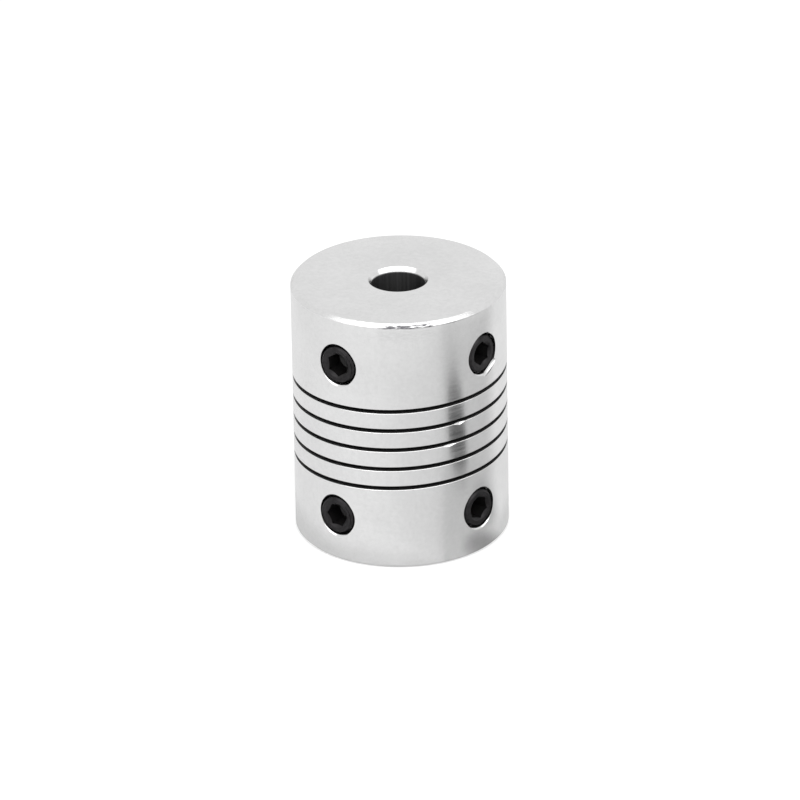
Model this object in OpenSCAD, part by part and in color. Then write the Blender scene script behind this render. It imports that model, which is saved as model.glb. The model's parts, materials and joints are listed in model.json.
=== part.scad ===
// Helical flexible coupling: one turned aluminium sleeve that a single helical slit makes flexible,
// with two set screws in each end to clamp the shafts. All sizes are in millimetres.
// +Z runs along the shafts, and the origin is the middle of the lower end face.

/* [Body] */
// Outer diameter of the sleeve
body_d = 20; // [18:0.5:30]
// Length from end face to end face
body_len = 25; // [23:0.5:40]
// Width of the 45 degree bevel round the rim of each end face
rim_bevel = 0.35; // [0.1:0.05:0.8]

/* [Shaft bore] */
// Diameter of the bore, which runs from end to end
bore_d = 5; // [3:0.1:8]
// How much the lead-in cone widens the bore's mouth, measured on the radius
lead_in_w = 0.3; // [0.1:0.05:0.6]
// Included angle of the lead-in cone, as the centre drill leaves it
lead_in_angle = 60; // [60:10:120]

/* [Helical slit] */
// Length of the solid hub at each end, up to where the slit starts
hub_len = 7.4; // [7:0.1:9]
// Number of full turns that the slit makes
slit_turns = 5; // [2:1:6]
// Width of the slit, measured along the shaft axis
slit_w = 0.4; // [0.2:0.05:0.7]
// Direction in which the slit crosses the middle of the sleeve, in degrees round from +X
slit_mid_angle = -9; // [-180:1:180]

/* [Screw holes] */
// Thread diameter of the set screws
thread_d = 4; // [3:0.5:4]
// Distance from the upper end face to the axes of the upper screws
upper_from_end = 4.85; // [4:0.05:4.9]
// Distance from the lower end face to the axes of the lower screws
lower_from_end = 4.6; // [4:0.05:4.9]
// Angle between the two upper screws
upper_spread = 86; // [70:1:180]
// Angle between the two lower screws
lower_spread = 84; // [70:1:180]
// How far the lower front screw is turned from the upper front screw
lower_pair_turn = -2.5; // [-30:0.5:30]
// Width of the 45 degree deburring cone at the mouth of each screw hole
mouth_bevel = 0.1; // [0.05:0.05:0.4]

/* [Set screws] */
// Length of each screw, from its face to its cup point
screw_len = 4; // [3:0.5:5]
// Radial gap between the modelled screw and its hole, where the fine thread runs
thread_gap = 0.05; // [0.02:0.01:0.1]
// Width of the bevel round the face of the screw
face_bevel = 0.35; // [0.1:0.05:0.6]
// Diameter of the sharp rim of the cup point
cup_d = 2; // [1:0.1:2.4]
// Depth of the cup inside that rim
cup_depth = 0.4; // [0.1:0.05:0.6]
// Width of the hexagon socket across its flats
socket_w = 2; // [1.5:0.1:2.2]
// Depth of the hexagon socket along its flats
socket_depth = 1.8; // [1:0.1:2.2]
// Width of the cone that opens the mouth of the socket beyond its corners
socket_bevel = 0.12; // [0.05:0.01:0.2]

/* [How each screw sits] */
// Depth of the upper front screw's face below the surface
upper_front_depth = 0; // [0:0.05:1.5]
// Depth of the upper right screw's face below the surface
upper_right_depth = 0.15; // [0:0.05:1.5]
// Depth of the lower front screw's face below the surface
lower_front_depth = 0; // [0:0.05:1.5]
// Depth of the lower right screw's face below the surface
lower_right_depth = 0.05; // [0:0.05:1.5]
// Angle at which the upper front screw has stopped turning
upper_front_turn = 4; // [0:1:59]
// Angle at which the upper right screw has stopped turning
upper_right_turn = 50; // [0:1:59]
// Angle at which the lower front screw has stopped turning
lower_front_turn = 32; // [0:1:59]
// Angle at which the lower right screw has stopped turning
lower_right_turn = 10; // [0:1:59]

/* [Hidden] */
$fn = 128;

aluminium = "#d8dadc";
black_oxide = "#2c2c2e";

// How far a cutting shape reaches past the material that it cuts
overcut = 0.5;

body_r = body_d / 2;
bore_r = bore_d / 2;
lead_in_depth = lead_in_w / tan(lead_in_angle / 2);

// The middle line of the slit climbs from one hub to the other
slit_rise = body_len - 2 * hub_len - slit_w;
slit_steps_per_turn = 36;
slit_steps = round(slit_turns * slit_steps_per_turn);

hole_r = thread_d / 2;
screw_r = hole_r - thread_gap;
socket_corner_r = socket_w / 2 / cos(30);
drill_point_angle = 118;

upper_z = body_len - upper_from_end;
lower_z = lower_from_end;
upper_front_angle = -90;
upper_right_angle = upper_front_angle + upper_spread;
lower_front_angle = upper_front_angle + lower_pair_turn;
lower_right_angle = lower_front_angle + lower_spread;

// The turned outline of the sleeve, with its radius along x and its length along y
module sleeve_outline() {
    polygon([
        [bore_r + lead_in_w, 0],
        [body_r - rim_bevel, 0],
        [body_r, rim_bevel],
        [body_r, body_len - rim_bevel],
        [body_r - rim_bevel, body_len],
        [bore_r + lead_in_w, body_len],
        [bore_r, body_len - lead_in_depth],
        [bore_r, lead_in_depth]
    ]);
}

// One cross-section of the slit: its share of the way up gives its direction and its height
function slit_section(share) =
    let (
        angle = slit_mid_angle + 360 * slit_turns * (share - 0.5),
        middle = body_len / 2 + slit_rise * (share - 0.5),
        low = middle - slit_w / 2,
        high = middle + slit_w / 2,
        inner = bore_r - overcut,
        outer = body_r + overcut
    )
    [
        [inner * cos(angle), inner * sin(angle), low],
        [outer * cos(angle), outer * sin(angle), low],
        [outer * cos(angle), outer * sin(angle), high],
        [inner * cos(angle), inner * sin(angle), high]
    ];

// The helical slot that the cutter leaves, open to the bore and to the outside
module helical_slit() {
    corners = 4;
    points = [for (i = [0:slit_steps]) each slit_section(i / slit_steps)];
    walls = [
        for (i = [0:slit_steps - 1], k = [0:corners - 1])
            let (here = i * corners, next = (i + 1) * corners, m = (k + 1) % corners)
            each [
                [here + k, here + m, next + m],
                [here + k, next + m, next + k]
            ]
    ];
    last = slit_steps * corners;
    ends = [[3, 2, 1, 0], [last, last + 1, last + 2, last + 3]];
    polyhedron(points = points, faces = concat(walls, ends));
}

// Puts a child that points along +Z on the axis of one screw, starting at the given radius
module on_screw_axis(angle, height, radius) {
    rotate([0, 0, angle])
        translate([radius, 0, height])
            rotate([0, 90, 0])
                children();
}

// The drilled and deburred shape of a screw hole, which starts inside the bore, short of its middle
module screw_hole(angle, height) {
    start = bore_r / 3;
    flare = mouth_bevel + overcut;
    on_screw_axis(angle, height, start)
        rotate_extrude()
            polygon([
                [0, 0],
                [hole_r, 0],
                [hole_r, body_r - mouth_bevel - start],
                [hole_r + flare, body_r + overcut - start],
                [0, body_r + overcut - start]
            ]);
}

// The turned outline of a set screw, from the cup point at y = 0 to the face
module set_screw_outline() {
    cup_r = cup_d / 2;
    polygon([
        [0, cup_depth],
        [cup_r, 0],
        [screw_r, screw_r - cup_r],
        [screw_r, screw_len - face_bevel],
        [screw_r - face_bevel, screw_len],
        [0, screw_len]
    ]);
}

// The hexagon that the key enters, with a drill point below it and a bevelled mouth
module socket(turn) {
    mouth_r = socket_corner_r + socket_bevel;
    drill_r = socket_w / 2 - thread_gap;
    drill_depth = drill_r / tan(drill_point_angle / 2);
    translate([0, 0, screw_len - socket_depth])
        rotate([0, 0, turn])
            cylinder(r = socket_corner_r, h = socket_depth + overcut, $fn = 6);
    translate([0, 0, screw_len - socket_depth - drill_depth])
        cylinder(r1 = 0, r2 = drill_r, h = drill_depth);
    translate([0, 0, screw_len - mouth_r])
        cylinder(r1 = 0, r2 = mouth_r + overcut, h = mouth_r + overcut);
}

// One set screw in its place, with its face the given depth below the surface
module set_screw(angle, height, depth, turn) {
    color(black_oxide)
        on_screw_axis(angle, height, body_r - depth - screw_len)
            difference() {
                rotate_extrude()
                    set_screw_outline();
                socket(turn);
            }
}

module coupling_body() {
    color(aluminium)
        difference() {
            rotate_extrude()
                sleeve_outline();
            helical_slit();
            screw_hole(upper_front_angle, upper_z);
            screw_hole(upper_right_angle, upper_z);
            screw_hole(lower_front_angle, lower_z);
            screw_hole(lower_right_angle, lower_z);
        }
}

module set_screw_upper_front() {
    set_screw(upper_front_angle, upper_z, upper_front_depth, upper_front_turn);
}

module set_screw_upper_right() {
    set_screw(upper_right_angle, upper_z, upper_right_depth, upper_right_turn);
}

module set_screw_lower_front() {
    set_screw(lower_front_angle, lower_z, lower_front_depth, lower_front_turn);
}

module set_screw_lower_right() {
    set_screw(lower_right_angle, lower_z, lower_right_depth, lower_right_turn);
}

coupling_body();
set_screw_upper_front();
set_screw_upper_right();
set_screw_lower_front();
set_screw_lower_right();
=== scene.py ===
# %% [markdown]
# A helical flexible coupling joins two shafts that don't quite line up. It is one turned aluminium
# sleeve. A single helical slit runs round its middle and leaves a flat spring coil between two
# solid hubs. Two set screws in each hub clamp the shaft.
#
# This lesson dresses the engineering model of that coupling. The model comes in as a fixed frame in
# metres. Its nodes stay where they are, and each visible piece rides on one of its bodies.

# %% Load the frame
import json
import math

import bpy
from mathutils import Matrix, Vector


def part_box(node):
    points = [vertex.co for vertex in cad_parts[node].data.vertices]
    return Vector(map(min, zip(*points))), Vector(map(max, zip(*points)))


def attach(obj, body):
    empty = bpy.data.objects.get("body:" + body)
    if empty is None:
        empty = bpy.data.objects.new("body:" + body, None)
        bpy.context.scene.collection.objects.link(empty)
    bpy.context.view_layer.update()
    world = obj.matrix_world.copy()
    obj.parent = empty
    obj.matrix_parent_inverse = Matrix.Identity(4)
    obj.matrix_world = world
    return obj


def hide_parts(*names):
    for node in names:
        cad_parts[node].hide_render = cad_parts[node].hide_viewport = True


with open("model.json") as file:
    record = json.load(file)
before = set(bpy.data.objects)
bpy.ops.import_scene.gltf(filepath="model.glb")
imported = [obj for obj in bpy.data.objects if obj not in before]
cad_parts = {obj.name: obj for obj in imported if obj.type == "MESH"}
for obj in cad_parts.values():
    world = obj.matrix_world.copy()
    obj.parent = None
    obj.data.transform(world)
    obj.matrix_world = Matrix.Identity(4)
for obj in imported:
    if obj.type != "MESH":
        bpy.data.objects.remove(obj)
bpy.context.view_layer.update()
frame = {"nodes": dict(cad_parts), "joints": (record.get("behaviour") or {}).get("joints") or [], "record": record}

# %% [markdown]
# Small turned parts are drawn in millimetres, so the shapes below are too. Their driving sizes are
# measured on the frame, so a sleeve of another diameter is dressed just as well. The last node of
# each shape scales it to metres.

# %% Sizes of the sleeve
MM = 0.001

sleeve_low, sleeve_high = (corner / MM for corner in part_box("coupling_body"))
body_r = sleeve_high.x
body_len = sleeve_high.z - sleeve_low.z
mounts = {mount["name"]: mount for mount in frame["record"]["mounts"]}
bore_r = mounts["upper_bore"]["dims"]["r_mm"]

rim_bevel = 0.35
lead_in_w = 0.3
lead_in_half_angle = math.radians(30)
lead_in_depth = lead_in_w / math.tan(lead_in_half_angle)

slit_turns = 5
slit_w = 0.4
slit_mid_angle = -9
hub_len = 7.4
slit_rise = body_len - 2 * hub_len - slit_w

print(f"Sleeve: {2 * body_r:.1f} across, {body_len:.1f} long, bore {2 * bore_r:.1f} mm")

# %% [markdown]
# Each screw slides along its own hole, so its joint's axis says which way the hole points. The
# furthest point of its node along that axis is its face, which lies flush or a little sunk.

# %% Sizes of the set screws
SCREWS = ("upper_front", "upper_right", "lower_front", "lower_right")

# How far the key has left each socket turned, in degrees
SCREW_TURNS = {"upper_front": 4, "upper_right": 50, "lower_front": 32, "lower_right": 10}

screw_r = 1.95
screw_len = 4.0
hole_r = 2.0
thread_pitch = 0.7


def measure_screw(name):
    """Angle round the sleeve, height, and distance of the screw's face from the shaft's axis."""
    joint = next(j for j in frame["joints"] if j["child"] == f"{name}_screw")
    outward = -Vector(joint["axis"])
    node = frame["nodes"][f"set_screw_{name}"]
    low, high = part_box(node.name)
    face = max(vertex.co.dot(outward) for vertex in node.data.vertices) / MM
    angle = math.atan2(outward.y, outward.x)
    return angle, (low.z + high.z) / 2 / MM, face


PLACES = {name: measure_screw(name) for name in SCREWS}
for name, (screw_angle, screw_height, face) in PLACES.items():
    print(f"{name}: at {math.degrees(screw_angle):.1f} degrees, {screw_height:.2f} up, "
          f"{body_r - face:.2f} deep")

# %% [markdown]
# The camera looks down on the coupling by about 26 degrees from some distance, with a long lens, so
# the verticals hardly converge. It is built from its own three axes, so the slight lean of the
# picture is one angle. Neither depth of field nor shift is used.

# %% Camera
VIEW_AZIMUTH = math.radians(35.15)
VIEW_ELEVATION = math.radians(25.927)
VIEW_ROLL = math.radians(-1.002)
VIEW_DISTANCE = 719.954 * MM
VIEW_LENS = 347.55
SENSOR_WIDTH = 36
NEAREST = 0.01

# The point that the camera looks at, in millimetres
TARGET_RIGHT = -0.026
TARGET_HEIGHT = 12.537

right = Vector((math.cos(VIEW_AZIMUTH), math.sin(VIEW_AZIMUTH), 0))
back = Vector((
    math.sin(VIEW_AZIMUTH) * math.cos(VIEW_ELEVATION),
    -math.cos(VIEW_AZIMUTH) * math.cos(VIEW_ELEVATION),
    math.sin(VIEW_ELEVATION),
))
up = back.cross(right)
target = right * TARGET_RIGHT * MM + Vector((0, 0, TARGET_HEIGHT * MM))

camera = bpy.data.objects.new("camera", bpy.data.cameras.new("camera"))
camera.data.lens = VIEW_LENS
camera.data.sensor_width = SENSOR_WIDTH
camera.data.clip_start = NEAREST
leaning_right = right * math.cos(VIEW_ROLL) + up * math.sin(VIEW_ROLL)
leaning_up = up * math.cos(VIEW_ROLL) - right * math.sin(VIEW_ROLL)
axes = Matrix((leaning_right, leaning_up, back)).transposed()
camera.matrix_world = Matrix.Translation(target + back * VIEW_DISTANCE) @ axes.to_4x4()
bpy.context.scene.collection.objects.link(camera)
bpy.context.scene.camera = camera

print(f"Camera: {VIEW_DISTANCE / MM:.0f} mm away, lens {VIEW_LENS:.0f} mm")

# %% [markdown]
# Three small helpers serve every tree of nodes in this lesson. One adds a node with its settings and
# links, and a node that is given as a value is linked by its first output. One turns a colour as a
# maker would pick it, in sRGB hex, into the linear values that the shaders work with. The last
# starts an empty material.

# %% Helpers for node trees
def add(tree, kind, settings=None, inputs=None):
    """Adds a node, sets its properties, and gives each named input a value or a link."""
    node = tree.nodes.new(kind)
    for name, value in (settings or {}).items():
        setattr(node, name, value)
    for key, value in (inputs or {}).items():
        if isinstance(value, bpy.types.Node):
            value = value.outputs[0]
        if isinstance(value, bpy.types.NodeSocket):
            tree.links.new(value, node.inputs[key])
        else:
            node.inputs[key].default_value = value
    return node


def linear(hex_colour):
    """An sRGB hex colour as the four linear values of a colour socket."""
    channels = [int(hex_colour[i:i + 2], 16) / 255 for i in (1, 3, 5)]
    curve = [c / 12.92 if c <= 0.04045 else ((c + 0.055) / 1.055) ** 2.4 for c in channels]
    return (*curve, 1.0)


def new_material(name):
    """An empty node material with its output, and the tree to fill."""
    material = bpy.data.materials.new(name)
    material.use_nodes = True
    material.node_tree.nodes.clear()
    return material, material.node_tree


print(f"Middle grey in linear light: {linear('#808080')[0]:.3f}")

# %% [markdown]
# A product like this is photographed in a white tent. Bare metal has no colour of its own to speak
# of, so its look is a picture of that tent: the world is white to the camera and to reflections, and
# the lamps only add direction. The floor is white too, and it keeps the soft shadow of the part.

# %% White tent
FILL_STRENGTH = 0.55

world = bpy.data.worlds.new("white_tent")
bpy.context.scene.world = world
world.use_nodes = True
tent = world.node_tree
tent.nodes.clear()
tent_path = add(tent, "ShaderNodeLightPath")
seen = add(tent, "ShaderNodeMath", {"operation": "MAXIMUM"}, {
    0: tent_path.outputs["Is Camera Ray"],
    1: tent_path.outputs["Is Glossy Ray"],
})
seen_or_through = add(tent, "ShaderNodeMath", {"operation": "MAXIMUM"}, {
    0: seen,
    1: tent_path.outputs["Is Transmission Ray"],
})
strength = add(tent, "ShaderNodeMapRange", {}, {
    "Value": seen_or_through,
    "To Min": FILL_STRENGTH,
    "To Max": 1.0,
})
tent_light = add(tent, "ShaderNodeBackground", {}, {"Color": linear("#ffffff"), "Strength": strength})
add(tent, "ShaderNodeOutputWorld", {}, {"Surface": tent_light})

bpy.context.scene.view_settings.view_transform = "Standard"
print("World fill:", FILL_STRENGTH)

# %% [markdown]
# The table is a sheet of matt white board. A real one looks white because the tent is bright, but
# lamps as bright as that would burn the metal out. So the board only glows to the camera and to
# reflections, and it still takes the part's shadow like any matt surface.

# %% White board
CAMERA_GLOW = 0.4
MIRRORED_GLOW = 0.27

white_board, board = new_material("matt_white_board")
board_path = add(board, "ShaderNodeLightPath")
matt = add(board, "ShaderNodeBsdfDiffuse", {}, {"Color": linear("#e6e6e6")})
mirrored = add(board, "ShaderNodeMath", {"operation": "MULTIPLY"}, {
    0: board_path.outputs["Is Glossy Ray"],
    1: MIRRORED_GLOW,
})
glow_strength = add(board, "ShaderNodeMath", {"operation": "MULTIPLY_ADD"}, {
    0: board_path.outputs["Is Camera Ray"],
    1: CAMERA_GLOW,
    2: mirrored,
})
glow = add(board, "ShaderNodeEmission", {}, {"Color": linear("#ffffff"), "Strength": glow_strength})
both = add(board, "ShaderNodeAddShader", {}, {0: matt, 1: glow})
add(board, "ShaderNodeOutputMaterial", {}, {"Surface": both})
print("Material:", white_board.name)

# %% [markdown]
# Two flat squares make the stage: the table here, and a clear sheet just above it in a later cell.

# %% Lay the floor
FLOOR_SIZE = 4.0


def lay_square(name, width, material):
    """A flat square round the part's foot."""
    reach = width / 2
    corners = [(-reach, -reach, 0), (reach, -reach, 0), (reach, reach, 0), (-reach, reach, 0)]
    mesh = bpy.data.meshes.new(name)
    mesh.from_pydata(corners, [], [(0, 1, 2, 3)])
    mesh.materials.append(material)
    square = bpy.data.objects.new(name, mesh)
    bpy.context.scene.collection.objects.link(square)
    print(f"{name}: {width:.2f} m wide")
    return square


floor = lay_square("floor", FLOOR_SIZE, white_board)

# %% [markdown]
# Softboxes hang in an arc above and beside the camera. Each bevel of the part mirrors a place in
# that arc: the one round the top mirrors what hangs steeply overhead, and the mouths of the bore and
# of the screw holes mirror what stands lower, to the front and sides. So those edges turn white,
# while the tube's side, which mirrors the table, keeps its grey.

# %% Lamps
SOFTBOX_DISTANCE = 0.5
SOFTBOX_BRIGHTNESS = 1.35

# Each softbox: azimuth from the camera and elevation in degrees, width and height in metres
SOFTBOXES = {
    "top_softbox": (6, 60, 0.60, 0.30),
    "front_softbox": (0, 35, 0.34, 0.16),
    "left_softbox": (-52, 42, 0.36, 0.28),
    "right_softbox": (58, 37, 0.42, 0.24),
}

for name, (azimuth, elevation, width, tall) in SOFTBOXES.items():
    lamp_azimuth = VIEW_AZIMUTH + math.radians(azimuth)
    lamp_elevation = math.radians(elevation)
    direction = Vector((
        math.sin(lamp_azimuth) * math.cos(lamp_elevation),
        -math.cos(lamp_azimuth) * math.cos(lamp_elevation),
        math.sin(lamp_elevation),
    ))
    lamp = bpy.data.lights.new(name, "AREA")
    lamp.shape = "RECTANGLE"
    lamp.size, lamp.size_y = width, tall
    lamp.energy = SOFTBOX_BRIGHTNESS * math.pi * width * tall
    holder = bpy.data.objects.new(name, lamp)
    holder.location = target + direction * SOFTBOX_DISTANCE
    holder.rotation_euler = direction.to_track_quat("Z", "Y").to_euler()
    bpy.context.scene.collection.objects.link(holder)
    print(f"{name}: {lamp.energy:.2f} W")

# %% [markdown]
# Bare metal looks flat in an even white tent. Photographers lay black and grey card on the table
# just outside the picture, and the tube's side, which mirrors the table, shows it as dark bands.
# Here those bands are painted reflections of shade: soft dark patches on one clear sheet that only
# reflections see, so no lamp or camera meets them. One paints a dark streak, two paint the table's
# shadow beside the foot, and one more is a ring of painted contact shadow close to the foot, where
# little light gets under the part.

# %% Painted shade patches
# Each painted patch: middle (right, away from the camera) and half sizes in millimetres, turn in
# degrees, darkness, and the share of the half size that its soft edge takes up
PAINTED_SHADES = {
    "painted_dark_streak": ((31.6, -23.0), (16.5, 8.3), -43, 0.95, 0.4),
    "painted_low_shade": ((17.0, -6.0), (9.5, 7.5), 0, 0.53, 0.7),
    "painted_foot_shadow": ((8.6, -6.8), (6.4, 5.4), -10, 0.62, 0.9),
    "painted_contact_ring": ((0.0, 0.0), (14.5, 14.5), 0, 0.21, 0.31),
}

painted_shade_material, shade_tree = new_material("painted_reflection_shade")
sheet_place = add(shade_tree, "ShaderNodeTexCoord").outputs["Object"]
shades = []
for middle, (half_wide, half_deep), patch_turn, dark, soft_edge in PAINTED_SHADES.values():
    placed = add(shade_tree, "ShaderNodeMapping", {"vector_type": "TEXTURE"}, {
        "Vector": sheet_place,
        "Location": (middle[0] * MM, middle[1] * MM, 0),
        "Rotation": (0, 0, math.radians(patch_turn)),
        "Scale": (half_wide * MM, half_deep * MM, 1),
    })
    patch = add(shade_tree, "ShaderNodeTexGradient", {"gradient_type": "SPHERICAL"}, {"Vector": placed})
    shades.append(add(shade_tree, "ShaderNodeMapRange", {"interpolation_type": "SMOOTHSTEP"}, {
        "Value": patch.outputs["Fac"],
        "From Max": soft_edge,
        "To Max": dark,
    }))
print("Cards:", ", ".join(PAINTED_SHADES))

# %% [markdown]
# The sheet also paints shade that follows the way round the part's foot: seen from there, it gets
# dimmer towards the front right and is brightest on the left. One ramp round the foot holds that
# painted shade.

# %% Painted shade on the dimmer side
SIDE_SHADE_MIDDLE = (2.4, -7.8)

# Share of the way round, and how dark the painted shade is there
PAINTED_SIDE_SHADE = (
    (0.08, 0.0), (0.16, 0.03), (0.25, 0.13), (0.335, 0.18), (0.368, 0.23), (0.386, 0.33),
    (0.54, 0.33), (0.59, 0.0), (0.65, 0.05), (0.72, 0.14), (0.79, 0.14), (0.88, 0.0),
)

from_foot = add(shade_tree, "ShaderNodeMapping", {"vector_type": "TEXTURE"}, {
    "Vector": sheet_place,
    "Location": (SIDE_SHADE_MIDDLE[0] * MM, SIDE_SHADE_MIDDLE[1] * MM, 0),
})
way_round = add(shade_tree, "ShaderNodeTexGradient", {"gradient_type": "RADIAL"}, {"Vector": from_foot})
painted_side_ramp = add(shade_tree, "ShaderNodeValToRGB", {}, {"Fac": way_round.outputs["Fac"]})
painted_side_ramp.color_ramp.elements[1].color = (0, 0, 0, 1)
for share, dark in PAINTED_SIDE_SHADE:
    painted_side_ramp.color_ramp.elements.new(share).color = (dark, dark, dark, 1)
shades.append(painted_side_ramp)
print("Room stops:", len(PAINTED_SIDE_SHADE))

# %% [markdown]
# Where two painted shades overlap, the darker one counts. The sheet lies 0.2 mm over the table,
# turned with the camera, so that its own axes are the right and away of the lists above.

# %% Lay the clear sheet
SHEET_SIZE = 160 * MM
SHEET_LIFT = 0.2 * MM

darkest = shades[0]
for shade in shades[1:]:
    darkest = add(shade_tree, "ShaderNodeMath", {"operation": "MAXIMUM"}, {0: darkest, 1: shade})
clear = add(shade_tree, "ShaderNodeBsdfTransparent")
# The near-black of the painted shade, seen only in reflections
black = add(shade_tree, "ShaderNodeBsdfDiffuse", {}, {"Color": linear("#181818")})
sheet_shader = add(shade_tree, "ShaderNodeMixShader", {}, {0: darkest, 1: clear, 2: black})
add(shade_tree, "ShaderNodeOutputMaterial", {}, {"Surface": sheet_shader})

# The clear sheet that carries the painted shade, seen by reflections only
sheet = lay_square("painted_shade_sheet", SHEET_SIZE, painted_shade_material)
sheet.location = (0, 0, SHEET_LIFT)
sheet.rotation_euler = (0, 0, VIEW_AZIMUTH)
sheet.visible_camera = False
sheet.visible_diffuse = False
sheet.visible_shadow = False

# %% [markdown]
# The sleeve is turned from aluminium bar, such as 6061, and left bare. The cutter leaves fine rings
# that follow it: round the side, and in circles on the end faces. They blur a reflection along the
# shaft more than round it, which is why the metal is shaded as anisotropic.

# %% Where a point lies on the sleeve
aluminium, metal = new_material("turned_aluminium_bare")

where = add(metal, "ShaderNodeTexCoord").outputs["Object"]
flat_place = add(metal, "ShaderNodeVectorMath", {"operation": "MULTIPLY"}, {0: where, 1: (1, 1, 0)})
to_axis = add(metal, "ShaderNodeVectorMath", {"operation": "LENGTH"}, {0: flat_place})
radius = to_axis.outputs["Value"]
around = add(metal, "ShaderNodeVectorMath", {"operation": "NORMALIZE"}, {0: flat_place})
cosine, sine = add(metal, "ShaderNodeSeparateXYZ", {}, {0: around}).outputs[:2]
height = add(metal, "ShaderNodeSeparateXYZ", {}, {0: where}).outputs["Z"]
print("Material:", aluminium.name)

# %% [markdown]
# A noise that is stretched out along the cutter's path gives the rings. It reads the radius and the
# height in steps of the pitch, and the direction round the axis as a point on a small circle, so it
# meets itself without a seam. The real rings are about 0.1 mm apart, which is a pixel here, so they
# are drawn 0.25 mm apart.

# %% Turning marks
MARK_PITCH = 0.25 * MM
MARKS_AROUND = 1.6

mark_place = add(metal, "ShaderNodeCombineXYZ", {}, {
    "X": add(metal, "ShaderNodeMath", {"operation": "DIVIDE"}, {0: radius, 1: MARK_PITCH}),
    "Y": add(metal, "ShaderNodeMath", {"operation": "DIVIDE"}, {0: height, 1: MARK_PITCH}),
    "Z": add(metal, "ShaderNodeMath", {"operation": "MULTIPLY"}, {0: cosine, 1: MARKS_AROUND}),
})
marks = add(metal, "ShaderNodeTexNoise", {"noise_dimensions": "4D"}, {
    "Vector": mark_place,
    "W": add(metal, "ShaderNodeMath", {"operation": "MULTIPLY"}, {0: sine, 1: MARKS_AROUND}),
    "Scale": 1.0,
    "Detail": 2.0,
    "Roughness": 0.6,
}).outputs["Fac"]
print(f"Rings drawn every {MARK_PITCH / MM} mm")

# %% [markdown]
# Bar stock has a fine crystal grain, and handling leaves faint cloudy patches. Both only shift the
# tone by a few percent.

# %% Grain and clouds
GRAIN_SIZE = 0.4 * MM
CLOUD_SIZE = 4 * MM

# How much of the tone comes from the grain, and the rest comes from the clouds
GRAIN_SHARE = 0.6

# A noise lies mostly between these two values
NOISE_LOW = 0.3
NOISE_HIGH = 0.7

grain = add(metal, "ShaderNodeTexNoise", {}, {
    "Vector": where,
    "Scale": 1 / GRAIN_SIZE,
    "Detail": 3.0,
    "Roughness": 0.65,
}).outputs["Fac"]
clouds = add(metal, "ShaderNodeTexNoise", {}, {
    "Vector": where,
    "Scale": 1 / CLOUD_SIZE,
    "Detail": 2.0,
}).outputs["Fac"]
tone = add(metal, "ShaderNodeMath", {"operation": "ADD"}, {
    0: add(metal, "ShaderNodeMath", {"operation": "MULTIPLY"}, {0: grain, 1: GRAIN_SHARE}),
    1: add(metal, "ShaderNodeMath", {"operation": "MULTIPLY"}, {0: clouds, 1: 1 - GRAIN_SHARE}),
})
lighter = add(metal, "ShaderNodeMapRange", {}, {
    "Value": tone,
    "From Min": NOISE_LOW,
    "From Max": NOISE_HIGH,
})
polished = add(metal, "ShaderNodeMix", {"data_type": "RGBA"}, {
    "Factor": lighter,
    "A": linear("#d3d3d3"),
    "B": linear("#dfdfdf"),
})
print(f"Grain: {GRAIN_SIZE / MM} mm, clouds: {CLOUD_SIZE / MM:.0f} mm")

# %% [markdown]
# The slit's walls and the bore are another matter: they were sawn and reamed and nobody polished
# them, so they are duller. Their darker colour is painted shade for these deep recesses. The
# reamer's streaks run along the bore, as lighter lines in that painted shade. A point belongs to a
# slit wall when it lies below the surface, between the hubs.

# %% Unpolished walls with painted shade
BORE_STREAKS = 14
STREAK_LENGTH = 12 * MM

in_bore = add(metal, "ShaderNodeMapRange", {}, {
    "Value": radius,
    "From Min": (bore_r + 0.08) * MM,
    "From Max": (bore_r + 0.02) * MM,
})
below_surface = add(metal, "ShaderNodeMapRange", {}, {
    "Value": radius,
    "From Min": (body_r - 0.05) * MM,
    "From Max": (body_r - 0.3) * MM,
})
half_slit_zone = ((slit_rise + slit_w) / 2 + 0.1) * MM
above_middle = add(metal, "ShaderNodeMath", {"operation": "SUBTRACT"}, {0: height, 1: body_len / 2 * MM})
from_middle = add(metal, "ShaderNodeMath", {"operation": "ABSOLUTE"}, {0: above_middle})
at_slit = add(metal, "ShaderNodeMath", {"operation": "LESS_THAN"}, {0: from_middle, 1: half_slit_zone})
in_slit = add(metal, "ShaderNodeMath", {"operation": "MULTIPLY"}, {0: below_surface, 1: at_slit})
unpolished_and_shaded = add(metal, "ShaderNodeMath", {"operation": "MAXIMUM"}, {0: in_bore, 1: in_slit})

streak_place = add(metal, "ShaderNodeCombineXYZ", {}, {
    "X": add(metal, "ShaderNodeMath", {"operation": "MULTIPLY"}, {0: cosine, 1: BORE_STREAKS}),
    "Y": add(metal, "ShaderNodeMath", {"operation": "MULTIPLY"}, {0: sine, 1: BORE_STREAKS}),
    "Z": add(metal, "ShaderNodeMath", {"operation": "DIVIDE"}, {0: height, 1: STREAK_LENGTH}),
})
streaks = add(metal, "ShaderNodeTexNoise", {}, {"Vector": streak_place, "Scale": 1.0, "Detail": 2.0})
lighter_streaks = add(metal, "ShaderNodeMapRange", {}, {
    "Value": streaks.outputs["Fac"],
    "From Min": NOISE_LOW,
    "From Max": NOISE_HIGH,
})
# The painted shade of the bore and the slit's walls, streaked along the bore
streaked_shade = add(metal, "ShaderNodeMix", {"data_type": "RGBA"}, {
    "Factor": lighter_streaks,
    "A": linear("#474747"),
    "B": linear("#5a5a5b"),
})
metal_colour = add(metal, "ShaderNodeMix", {"data_type": "RGBA"}, {
    "Factor": unpolished_and_shaded,
    "A": polished.outputs["Result"],
    "B": streaked_shade.outputs["Result"],
})
print(f"Slit walls: within {half_slit_zone / MM:.1f} mm of the middle")

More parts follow.
